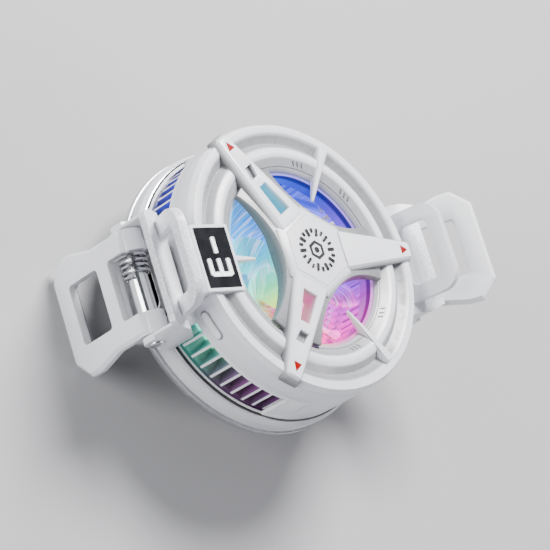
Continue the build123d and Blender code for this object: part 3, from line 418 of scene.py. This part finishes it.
def swirl(look, radius):
    """Painted light: the lamps' colours drawn out in arcs, with white painted highlights near the
    middle.
    """
    colour = look.ramp(look.turn_share(), glow_stops)
    shade = look.ramp(arcs_of_light(look, radius, 1500.0, 1.1),
                      [(0.36, (0.20, 0.22, 0.34)), (0.50, (0.75, 0.76, 0.84)),
                       (0.62, (1.2, 1.2, 1.2))])
    glow = look.mix(1.0, colour, shade, "MULTIPLY")
    # Painted highlights: white arcs, brightest near the hub
    streaks = look.ramp(arcs_of_light(look, radius, 3100.0, 1.9), [(0.51, black), (0.62, white)])
    near_hub = look.ramp(look.spread(radius, 8.0 * mm, 17.0 * mm, 0.0, 1.0),
                         [(0.0, white), (0.6, (0.8, 0.8, 0.8)), (1.0, (0.12, 0.12, 0.12))])
    bright = look.mix(1.0, streaks, near_hub, "MULTIPLY")
    return look.mix(bright, glow, (0.85, 0.95, 1.25))


def lit_plastic(name, strength):
    """Clear plastic with a painted glow, as if lit from its edge, and the painted arcs of light
    that the turning blades draw.
    """
    look = Shader(name)
    glow = swirl(look, look.radius())
    colour = look.ramp(look.turn_share(), glow_stops)
    look.feed("Base Color", look.mix(0.85, (0.2, 0.24, 0.34), colour))
    look.feed("Emission Color", glow)
    look.set(Emission_Strength=strength, Roughness=0.22, Specular_IOR_Level=0.4)
    return look.material


def lit_ring():
    """The ring round the opening: pale on its upper edge, dark below it, and lit further down."""
    look = Shader("lit_ring")
    z = look.axes()[2]
    turn = look.turn_share()
    lilac = (0.8, 0.6, 1.0)
    dark_stops = [(share, tuple(0.22 * part ** 2.2 for part in colour))
                  for share, colour in glow_stops]
    pale_stops = [(share, tuple(0.6 * part + 0.3 * tint for part, tint in zip(colour, lilac)))
                  for share, colour in glow_stops]
    dark = look.ramp(turn, dark_stops)
    pale = look.ramp(turn, pale_stops)
    lit = swirl(look, look.radius())
    ring_low, ring_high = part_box("light_ring")[0][2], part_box("light_ring")[1][2]
    rise = look.spread(z, ring_low, ring_high, 0.0, 1.0)
    upper = look.ramp(rise, [(0.93, black), (0.97, white)])
    lower = look.ramp(rise, [(0.50, white), (0.66, black)])
    glow = look.mix(lower, look.mix(upper, dark, pale), lit)
    look.feed("Base Color", look.mix(0.5, (0.02, 0.02, 0.03), glow))
    look.feed("Emission Color", glow)
    look.set(Emission_Strength=0.9, Roughness=0.3)
    return look.material


def lit_fins():
    """Bare aluminium, silver at its outer edges with a faint painted glow there, with painted light
    in the lamps' colour further in, painted shade lower down and further from the edges, and the
    blades' painted swirl inside the opening.
    """
    look = Shader("lit_fins")
    radius = look.radius()
    z = look.axes()[2]
    side = look.ramp(look.turn_share(), fin_stops)
    low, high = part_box("heat_sink")[0][2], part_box("heat_sink")[1][2]
    # Painted shade: the fins darken lower down and further in from their outer edges
    lower_shade = look.ramp(look.spread(z, low, high, 0.0, 1.0), [(0.12, (0.2, 0.2, 0.2)), (0.85, white)])
    depth = look.ramp(look.spread(radius, fin_lit_radius, fin_dark_radius, 0.0, 1.0),
                      [(0.0, (0.3, 0.3, 0.3)), (0.7, (0.5, 0.5, 0.5)), (1.0, white)])
    side = look.mix(1.0, look.mix(1.0, side, lower_shade, "MULTIPLY"), depth, "MULTIPLY")
    within = look.spread(radius, swirl_radius, swirl_end_radius, 0.0, 1.0)
    glow = look.mix(within, swirl(look, radius), side)
    outer = look.spread(radius, fin_edge_radius, fin_edge_radius + 0.08 * mm, 0.0, 1.0)
    look.feed("Emission Color", look.mix(outer, glow, (0.22, 0.22, 0.24)))
    lines = look.noise(1.0, 3.0, stretch=(300.0, 300.0, 5000.0))
    silver = look.ramp(lines, [(0.3, (0.70, 0.71, 0.74)), (0.7, (0.92, 0.93, 0.96))])
    look.feed("Base Color", look.mix(outer, look.mix(0.85, silver, glow), silver))
    look.feed("Roughness", look.spread(lines, 0.2, 0.8, 0.24, 0.4))
    look.set(Metallic=0.6, Emission_Strength=1.0)
    look.bump(lines, 0.1, 0.01 * mm)
    return look.material


def black_glass():
    """Dark glass with a faintly smeared gloss."""
    look = Shader("black_glass")
    look.feed("Base Color", look.ramp(look.noise(300.0, 4.0),
                                      [(0.3, (0.008, 0.008, 0.01)), (0.7, (0.02, 0.02, 0.024))]))
    look.feed("Roughness", look.spread(look.noise(900.0, 4.0), 0.3, 0.8, 0.06, 0.16))
    look.set(Specular_IOR_Level=0.6, Coat_Weight=0.5, Coat_Roughness=0.05)
    return look.material


def lit_digit():
    """The lit strokes of the figures."""
    look = Shader("lit_digit")
    colour = look.ramp(look.noise(900.0, 2.0), [(0.3, (0.9, 0.92, 0.95)), (0.7, (1.0, 1.0, 1.0))])
    look.feed("Base Color", colour)
    look.feed("Emission Color", colour)
    look.set(Emission_Strength=1.0, Roughness=0.4)
    return look.material


def printed_board():
    """Green board with a net of tracks under its lacquer."""
    look = Shader("printed_board")
    tracks = look.tree.nodes.new("ShaderNodeTexBrick")
    tracks.inputs["Scale"].default_value = 420.0
    tracks.inputs["Mortar Size"].default_value = 0.06
    tracks.inputs["Color1"].default_value = (0.01, 0.10, 0.05, 1.0)
    tracks.inputs["Color2"].default_value = (0.015, 0.13, 0.06, 1.0)
    tracks.inputs["Mortar"].default_value = (0.05, 0.24, 0.12, 1.0)
    look.link(look.place, tracks.inputs["Vector"])
    look.feed("Base Color", tracks.outputs["Color"])
    look.feed("Roughness", look.spread(look.noise(900.0), 0.3, 0.7, 0.3, 0.45))
    look.bump(tracks.outputs["Fac"], 0.2, 0.02 * mm)
    return look.material


def wound_copper():
    """Lacquered copper wire in close turns."""
    look = Shader("wound_copper")
    wire = look.tree.nodes.new("ShaderNodeTexWave")
    wire.bands_direction = "Z"
    wire.inputs["Scale"].default_value = 1500.0
    wire.inputs["Distortion"].default_value = 0.6
    look.link(look.place, wire.inputs["Vector"])
    look.feed("Base Color", look.ramp(wire.outputs["Fac"],
                                      [(0.1, (0.30, 0.10, 0.04)), (0.7, (0.82, 0.40, 0.20))]))
    look.set(Metallic=1.0, Roughness=0.3)
    look.bump(wire.outputs["Fac"], 0.6, 0.05 * mm)
    return look.material


def gloss_red():
    """Deep red gloss plastic."""
    look = Shader("gloss_red")
    look.feed("Base Color", look.ramp(look.noise(500.0),
                                      [(0.3, (0.24, 0.002, 0.002)), (0.7, (0.34, 0.004, 0.004))]))
    look.feed("Roughness", look.spread(look.noise(2000.0), 0.3, 0.7, 0.2, 0.3))
    look.set(Specular_IOR_Level=0.3, Coat_Weight=0.1, Coat_Roughness=0.1)
    return look.material


def fired_ceramic():
    """Pale fired plates with a dry, slightly grainy face."""
    look = Shader("fired_ceramic")
    look.feed("Base Color", look.ramp(look.noise(800.0, 6.0),
                                      [(0.3, (0.74, 0.73, 0.69)), (0.7, (0.88, 0.87, 0.84))]))
    look.feed("Roughness", look.spread(look.noise(2600.0), 0.3, 0.7, 0.5, 0.65))
    look.bump(look.noise(4200.0), 0.2, 0.02 * mm)
    return look.material


# The tones given to the drum, guard, housing and bezel below are painted shade, the brackets' tone
# is a grain, and the guard's glow is painted light.
white_shell = moulded_plastic("white_shell", (0.80, 0.81, 0.84), (0.76, 0.77, 0.80))
drum_white = moulded_plastic("drum_white", (0.76, 0.765, 0.80), (0.72, 0.725, 0.765),
                             shade_or_grain=painted_button_shadow)
guard_white = moulded_plastic("guard_white", (0.84, 0.85, 0.87), (0.80, 0.81, 0.83), 0.3,
                              shade_or_grain=painted_flank_shade, glow=painted_lamp_light_in_slits)
clip_white = moulded_plastic("clip_white", (0.84, 0.85, 0.875), (0.80, 0.81, 0.84), 0.32)
bracket_white = moulded_plastic("bracket_white", (0.82, 0.83, 0.86), (0.78, 0.79, 0.825), 0.32,
                                shade_or_grain=grained_roof)
housing_white = moulded_plastic("housing_white", (0.86, 0.87, 0.90), (0.82, 0.83, 0.86),
                                shade_or_grain=painted_column_shade)
bezel_white = moulded_plastic("bezel_white", (0.86, 0.87, 0.89), (0.82, 0.83, 0.85), 0.28, 0.6,
                              shade_or_grain=painted_groove_shade)
grey_band = moulded_plastic("grey_band", (0.66, 0.67, 0.70), (0.62, 0.63, 0.66), 0.34)
mark_and_shadow_grey = moulded_plastic("mark_and_shadow_grey", (0.14, 0.145, 0.16), (0.10, 0.105, 0.12), 0.5)
sign_black = moulded_plastic("sign_black", (0.03, 0.03, 0.033), (0.018, 0.018, 0.02), 0.3)
dark_plastic = moulded_plastic("dark_plastic", (0.035, 0.035, 0.04), (0.02, 0.02, 0.024), 0.4)
pin_chrome = polished_metal("pin_chrome", (0.86, 0.87, 0.89), (0.74, 0.75, 0.77), 0.07)
trim_chrome = polished_metal("trim_chrome", (0.9, 0.9, 0.92), (0.8, 0.8, 0.82), 0.12)
magnet_plate = polished_metal("magnet_plate", (0.66, 0.65, 0.63), (0.52, 0.51, 0.50), 0.22)
screw_steel = brushed_metal("screw_steel", (0.62, 0.62, 0.64), (0.45, 0.45, 0.47), 0.28)
spring_steel = brushed_metal("spring_steel", (0.60, 0.60, 0.62), (0.40, 0.40, 0.42), 0.22)
plated_steel = brushed_metal("plated_steel", (0.66, 0.67, 0.69), (0.52, 0.53, 0.55), 0.34,
                             stretch=(900.0, 60.0, 900.0))
cold_metal = brushed_metal("cold_metal", (0.82, 0.83, 0.85), (0.68, 0.69, 0.71), 0.3,
                           stretch=(60.0, 1800.0, 60.0))
pad_rubber = soft_rubber("pad_rubber", (0.16, 0.165, 0.175), (0.11, 0.115, 0.12))
jaw_rubber = soft_rubber("jaw_rubber", (0.30, 0.31, 0.33), (0.22, 0.23, 0.25))
foam_grey = soft_rubber("foam_grey", (0.12, 0.12, 0.13), (0.07, 0.07, 0.08))
shadow_band_black = soft_rubber("shadow_band_black", (0.02, 0.02, 0.022), (0.01, 0.01, 0.012))
# Painted glow on the blades and the bearing tube, which are no lamps
blade_glow = lit_plastic("lit_blades", 1.15)
core_glow = lit_plastic("lit_core", 0.8)
ring_glow = lit_ring()
fin_glow = lit_fins()
glass = black_glass()
digit_white = lit_digit()
board_green = printed_board()
coil_copper = wound_copper()
red_gloss = gloss_red()
ceramic = fired_ceramic()

node_looks = {
    "thermal_pad": pad_rubber, "cold_plate": cold_metal, "thermoelectric_module": ceramic,
    "insulation_foam": foam_grey, "heat_sink": fin_glow, "magnets": magnet_plate,
    "plate_screws": screw_steel, "case_screws": screw_steel, "bracket_screws": screw_steel,
    "tip_inlays": red_gloss, "light_ring": ring_glow, "led_board": board_green,
    "impeller": blade_glow, "bearing_tube": core_glow, "bearings": pin_chrome,
    "motor_shaft": pin_chrome, "rotor_magnet": magnet_plate, "motor_stator": plated_steel,
    "motor_coils": coil_copper, "usb_c_socket": pin_chrome, "main_board": board_green,
    "display_window": glass, "display_board": board_green, "button_switch": dark_plastic,
    "left_jaw_spring": spring_steel, "right_jaw_spring": spring_steel,
}


# Modelling helpers

def select_only(*objects):
    """Leaves edit mode and selects these objects alone, the first of them active."""
    if bpy.context.object and bpy.context.object.mode != "OBJECT":
        bpy.ops.object.mode_set(mode="OBJECT")
    bpy.ops.object.select_all(action="DESELECT")
    for item in objects:
        item.select_set(True)
    bpy.context.view_layer.objects.active = objects[0]


def edit(item):
    """Opens an object for editing with its whole mesh selected."""
    select_only(item)
    bpy.ops.object.mode_set(mode="EDIT")
    bpy.ops.mesh.select_all(action="SELECT")


def leave_edit():
    bpy.ops.object.mode_set(mode="OBJECT")


def apply_bevel(item, width, segments, angle):
    """Softens the edges that are sharper than the angle, in degrees."""
    modifier = item.modifiers.new("edges", "BEVEL")
    modifier.width = width
    modifier.segments = segments
    modifier.limit_method = "ANGLE"
    modifier.angle_limit = radians(angle)
    modifier.use_clamp_overlap = True
    select_only(item)
    bpy.ops.object.modifier_apply(modifier=modifier.name)


def finish_piece(item, name, material, body, smooth=30.0):
    """Sets a new piece down at the origin, smooths it, gives it its material and hands it to its
    body.
    """
    select_only(item)
    bpy.ops.object.transform_apply(location=True, rotation=True, scale=True)
    bpy.ops.object.shade_smooth_by_angle(angle=radians(smooth))
    item.name = name
    item.data.name = name
    item.data.materials.clear()
    item.data.materials.append(material)
    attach(item, body)


def joined(pieces):
    """All the pieces as one object."""
    select_only(*pieces)
    if len(pieces) > 1:
        bpy.ops.object.join()
    return bpy.context.object


def copies(item, placements):
    """One copy of a finished shape for each placement matrix, joined into one object."""
    made = []
    for placement in placements:
        copy = item.copy()
        copy.data = item.data.copy()
        bpy.context.scene.collection.objects.link(copy)
        copy.data.transform(placement @ item.matrix_world)
        copy.matrix_world = Matrix.Identity(4)
        made.append(copy)
    bpy.data.objects.remove(item)
    return joined(made)


def bar(length, width, height, edge, corner=0.0):
    """A small bar with rounded corners and softened edges, lying along X on z = 0."""
    bpy.ops.mesh.primitive_cube_add(size=1.0, location=(0.0, 0.0, height / 2))
    item = bpy.context.object
    item.scale = (length, width, height)
    select_only(item)
    bpy.ops.object.transform_apply(location=True, rotation=True, scale=True)
    if corner:
        edit(item)
        bpy.ops.mesh.select_all(action="DESELECT")
        leave_edit()
        for side in item.data.edges:
            ends = [item.data.vertices[index].co for index in side.vertices]
            side.select = abs(ends[0].z - ends[1].z) > height / 2
        bpy.ops.object.mode_set(mode="EDIT")
        bpy.ops.mesh.bevel(offset=corner, segments=4, affect="EDGES")
        leave_edit()
    apply_bevel(item, edge, 2, 60.0)
    return item


def spun_ring(inner, outer, bottom, top, edge, steps=160):
    """A ring spun from a rounded section."""
    middle = ((inner + outer) / 2, 0.0, (bottom + top) / 2)
    bpy.ops.mesh.primitive_plane_add(size=1.0, location=middle, rotation=(pi / 2, 0.0, 0.0))
    item = bpy.context.object
    item.scale = (outer - inner, top - bottom, 1.0)
    select_only(item)
    bpy.ops.object.transform_apply(location=True, rotation=True, scale=True)
    edit(item)
    bpy.ops.mesh.bevel(offset=edge, segments=2, affect="VERTICES")
    bpy.ops.mesh.select_all(action="SELECT")
    bpy.ops.mesh.delete(type="ONLY_FACE")
    bpy.ops.mesh.select_all(action="SELECT")
    bpy.ops.mesh.spin(steps=steps, angle=2 * pi, center=(0.0, 0.0, 0.0), axis=(0.0, 0.0, 1.0))
    bpy.ops.mesh.select_all(action="SELECT")
    bpy.ops.mesh.remove_doubles(threshold=0.002 * mm)
    bpy.ops.mesh.normals_make_consistent(inside=False)
    leave_edit()
    return item


def dressed(node, material, width, angle=24.0, segments=2, smooth=32.0):
    """A merged copy of a node's mesh with softened edges, which stands for the node."""
    record = frame["record"]
    body = next(name for name, held in record["behaviour"]["bodies"].items() if node in held)
    item = bpy.data.objects.new(node, nodes[node].data.copy())
    item.data.transform(nodes[node].matrix_world)
    bpy.context.scene.collection.objects.link(item)
    edit(item)
    bpy.ops.mesh.remove_doubles(threshold=0.001 * mm)
    bpy.ops.mesh.dissolve_limited(angle_limit=radians(0.6))
    leave_edit()
    apply_bevel(item, width, segments, angle)
    finish_piece(item, node + "_finished", material, body, smooth)
    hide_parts(node)


def carry_material(node, material):
    """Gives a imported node's own object a material."""
    item = nodes[node]
    if not item.material_slots:
        item.data.materials.append(material)
    for place in item.material_slots:
        place.material = material


# Finished copies of the moulded and turned pieces

for name, look in node_looks.items():
    carry_material(name, look)

dressed("drum_shell", drum_white, 0.12 * mm)
for number in (1, 2, 3, 4):
    dressed(f"vent_frame_{number}", white_shell, 0.08 * mm)
dressed("bezel", bezel_white, 0.42 * mm, angle=9.0, segments=4)
dressed("guard_star", guard_white, 0.16 * mm, segments=3)
dressed("hub_badge", guard_white, 0.06 * mm)
dressed("guard_fins", white_shell, 0.12 * mm)
dressed("display_housing", housing_white, 0.2 * mm, segments=3)
dressed("base_ring", grey_band, 0.18 * mm)
dressed("trim_ring", trim_chrome, 0.08 * mm)
dressed("mode_button", clip_white, 0.2 * mm, segments=3)
dressed("clip_ring", plated_steel, 0.12 * mm)
for side in ("left", "right"):
    dressed(f"{side}_bracket", bracket_white, 0.22 * mm, segments=3)
    dressed(f"{side}_jaw", clip_white, 0.3 * mm, segments=3)
    dressed(f"{side}_grip_pad", jaw_rubber, 0.12 * mm)
    dressed(f"{side}_hinge_pin", pin_chrome, 0.1 * mm)


# Sign on the hub

dashes_of_each = 10
dash_radius = 3.75 * mm
sign_height = 0.04 * mm
frame_radius = 2.05 * mm
frame_stroke = 0.62 * mm
dot_radius = 0.7 * mm


def around(angle, radius=0.0, height=0.0):
    """A place at an angle round the fan's axis, in degrees."""
    return Matrix.Rotation(radians(angle), 4, "Z") @ Matrix.Translation((radius, 0.0, height))


def ring_of_dashes(name, length, width, radius, offset):
    """Every second dash of the ring, each lying along its own radius."""
    dash = bar(length, width, sign_height, 0.012 * mm, width * 0.3)
    angles = [offset + index * 360 / dashes_of_each for index in range(dashes_of_each)]
    ring = copies(dash, [around(angle, radius, badge_top) for angle in angles])
    finish_piece(ring, name, sign_black, "root")


def raised_hexagon(name, radius, stroke=None):
    """A hexagon on the badge, filled, or only its outline where a stroke is given."""
    bpy.ops.mesh.primitive_circle_add(vertices=6, radius=radius, fill_type="NGON",
                                      location=(0.0, 0.0, badge_top))
    item = bpy.context.object
    edit(item)
    if stroke:
        bpy.ops.mesh.inset(thickness=stroke)
        bpy.ops.mesh.delete(type="FACE")
        bpy.ops.mesh.select_all(action="SELECT")
    bpy.ops.mesh.extrude_region_move(TRANSFORM_OT_translate={"value": (0.0, 0.0, sign_height)})
    if stroke:
        bpy.ops.mesh.select_all(action="SELECT")
        bpy.ops.mesh.normals_make_consistent(inside=False)
    leave_edit()
    finish_piece(item, name, sign_black, "root")


ring_of_dashes("hub_sign_long_dashes", 1.6 * mm, 0.62 * mm, dash_radius, 0.0)
ring_of_dashes("hub_sign_short_dashes", 0.95 * mm, 0.55 * mm, dash_radius + 0.3 * mm,
               180 / dashes_of_each)
raised_hexagon("hub_sign_hexagon", frame_radius, frame_stroke)
raised_hexagon("hub_sign_dot", dot_radius)


# Figures behind the display glass

glass_middle = (display_low + display_high) / 2
figure_height = 4.7 * mm
figure_width = 3.0 * mm
stroke = 0.85 * mm
stroke_overlap = 0.3 * mm
figure_top = display_high.z + 0.01 * mm
minus_place = -2.5 * mm
three_place = 1.9 * mm
# Segments as (shares of the width and height, upright or not) on a figure's own middle
segment_shares = {
    "top": (0.0, 0.5, False), "middle": (0.0, 0.0, False), "bottom": (0.0, -0.5, False),
    "upper_left": (-0.5, 0.25, True), "upper_right": (0.5, 0.25, True),
    "lower_left": (-0.5, -0.25, True), "lower_right": (0.5, -0.25, True),
}
figure_segments = {
    "minus": ("middle",),
    "three": ("top", "upper_right", "middle", "lower_right", "bottom"),
}


def figure(name, across):
    """Places of a figure's strokes. The figures read towards -Y with their tops towards +X."""
    places = []
    for segment in figure_segments[name]:
        share_across, share_up, upright = segment_shares[segment]
        right = across + share_across * figure_width
        up = share_up * figure_height
        turn = Matrix.Rotation(0.0 if upright else pi / 2, 4, "Z")
        spot = Vector((glass_middle.x + up, glass_middle.y - right, figure_top))
        places.append((Matrix.Translation(spot) @ turn, upright))
    return places


strokes = []
for name, across in (("minus", minus_place), ("three", three_place)):
    for placement, upright in figure(name, across):
        length = figure_height / 2 if upright else figure_width + stroke_overlap
        piece = bar(length, stroke, 0.03 * mm, 0.01 * mm, stroke * 0.3)
        piece.data.transform(placement)
        strokes.append(piece)
finish_piece(joined(strokes), "display_figures", digit_white, "root")


# Dark lines of painted shadow round the drum and the bezel, and small marks on the bezel

# Painted shadow: a thin black band round the drum above the trim, which stands in for the shade in
# the gap between the trim and the vent frames.
shadow_band_height = 0.42 * mm
shadow_band = spun_ring(drum_radius - 0.2 * mm, drum_radius + 0.12 * mm,
                   trim_top, trim_top + shadow_band_height, 0.05 * mm)
finish_piece(shadow_band, "vent_shadow_band", shadow_band_black, "root")

# Painted shadow: a thin dark line round the bezel's inner slope, which stands in for a line of
# shade. Its grey also colours the printed marks.
line_radius = 19.25 * mm
line_half_width = 0.07 * mm


def lip_height(radius):
    """Height of the bezel's inner slope at a distance from the axis."""
    return drum_top + lip_rise + (radius - lip_radius) * tan(lip_slope)


line_height = lip_height(line_radius)
lip_shadow_line = spun_ring(line_radius - line_half_width, line_radius + line_half_width,
                     line_height - 0.08 * mm, line_height + 0.05 * mm, 0.03 * mm)
finish_piece(lip_shadow_line, "lip_shadow_line", mark_and_shadow_grey, "root")

mark_radius = 20.1 * mm
mark_slant = radians(28.0)
mark_step = 3.1
cluster_angles = (39.0, 75.0, -39.0, -75.0)
mark = bar(1.05 * mm, 0.27 * mm, 0.08 * mm, 0.03 * mm)
mark.data.transform(Matrix.Rotation(-lip_slope, 4, "Y") @ Matrix.Rotation(mark_slant, 4, "Z"))
mark_angles = [middle + step * mark_step for middle in cluster_angles for step in (-1, 0, 1)]
marks = copies(mark, [around(angle, mark_radius, lip_height(mark_radius)) for angle in mark_angles])
finish_piece(marks, "lip_marks", mark_and_shadow_grey, "root")


# Floor, lights and camera

bpy.ops.mesh.primitive_grid_add(x_subdivisions=4, y_subdivisions=4, size=6.0,
                                location=(0.0, 0.0, floor_level))
floor = bpy.context.object
floor.name = "floor"
floor_look = Shader("floor")
floor_colour = floor_look.ramp(floor_look.noise(3.0),
                               [(0.3, (0.42, 0.42, 0.43)), (0.7, (0.44, 0.44, 0.45))])
floor_look.feed("Base Color", floor_colour)
floor_look.set(Roughness=0.75)
floor.data.materials.append(floor_look.material)

world = bpy.data.worlds.new("studio")
world.use_nodes = True
background = world.node_tree.nodes["Background"]
background.inputs["Color"].default_value = (0.90, 0.92, 1.0, 1.0)
background.inputs["Strength"].default_value = 0.13
bpy.context.scene.world = world

light_aim = Vector((0.0, 0.0, 10.0)) * mm


def soft_light(name, place, size, power, colour=(1.0, 1.0, 1.0)):
    """A round soft light that faces the fan. Its size is in metres and its power in watts."""
    data = bpy.data.lights.new(name, "AREA")
    data.shape = "DISK"
    data.size = size
    data.energy = power
    data.color = colour
    light = bpy.data.objects.new(name, data)
    bpy.context.scene.collection.objects.link(light)
    light.location = place
    light.rotation_euler = (light_aim - Vector(place)).to_track_quat("-Z", "Y").to_euler()


soft_light("key", (0.14, 0.30, 0.44), 0.26, 9.0)
soft_light("fill", (-0.50, 0.02, 0.14), 0.35, 3.0)
soft_light("rim", (0.25, -0.38, 0.36), 0.26, 1.5, (0.94, 0.93, 1.0))

camera_place = Vector((-324.06, -117.41, 326.48)) * mm
camera_aim = Vector((0.0, 0.0, 12.0)) * mm
camera_roll = radians(59.03)

camera_data = bpy.data.cameras.new("camera")
camera_data.lens = 155.0
camera_data.sensor_width = 36.0
camera_data.clip_start = 0.01
camera_data.dof.use_dof = False
camera = bpy.data.objects.new("camera", camera_data)
bpy.context.scene.collection.objects.link(camera)
camera.location = camera_place
look_turn = (camera_aim - camera_place).to_track_quat("-Z", "Y").to_matrix().to_4x4()
camera.rotation_euler = (look_turn @ Matrix.Rotation(camera_roll, 4, "Z")).to_euler()
bpy.context.scene.camera = camera
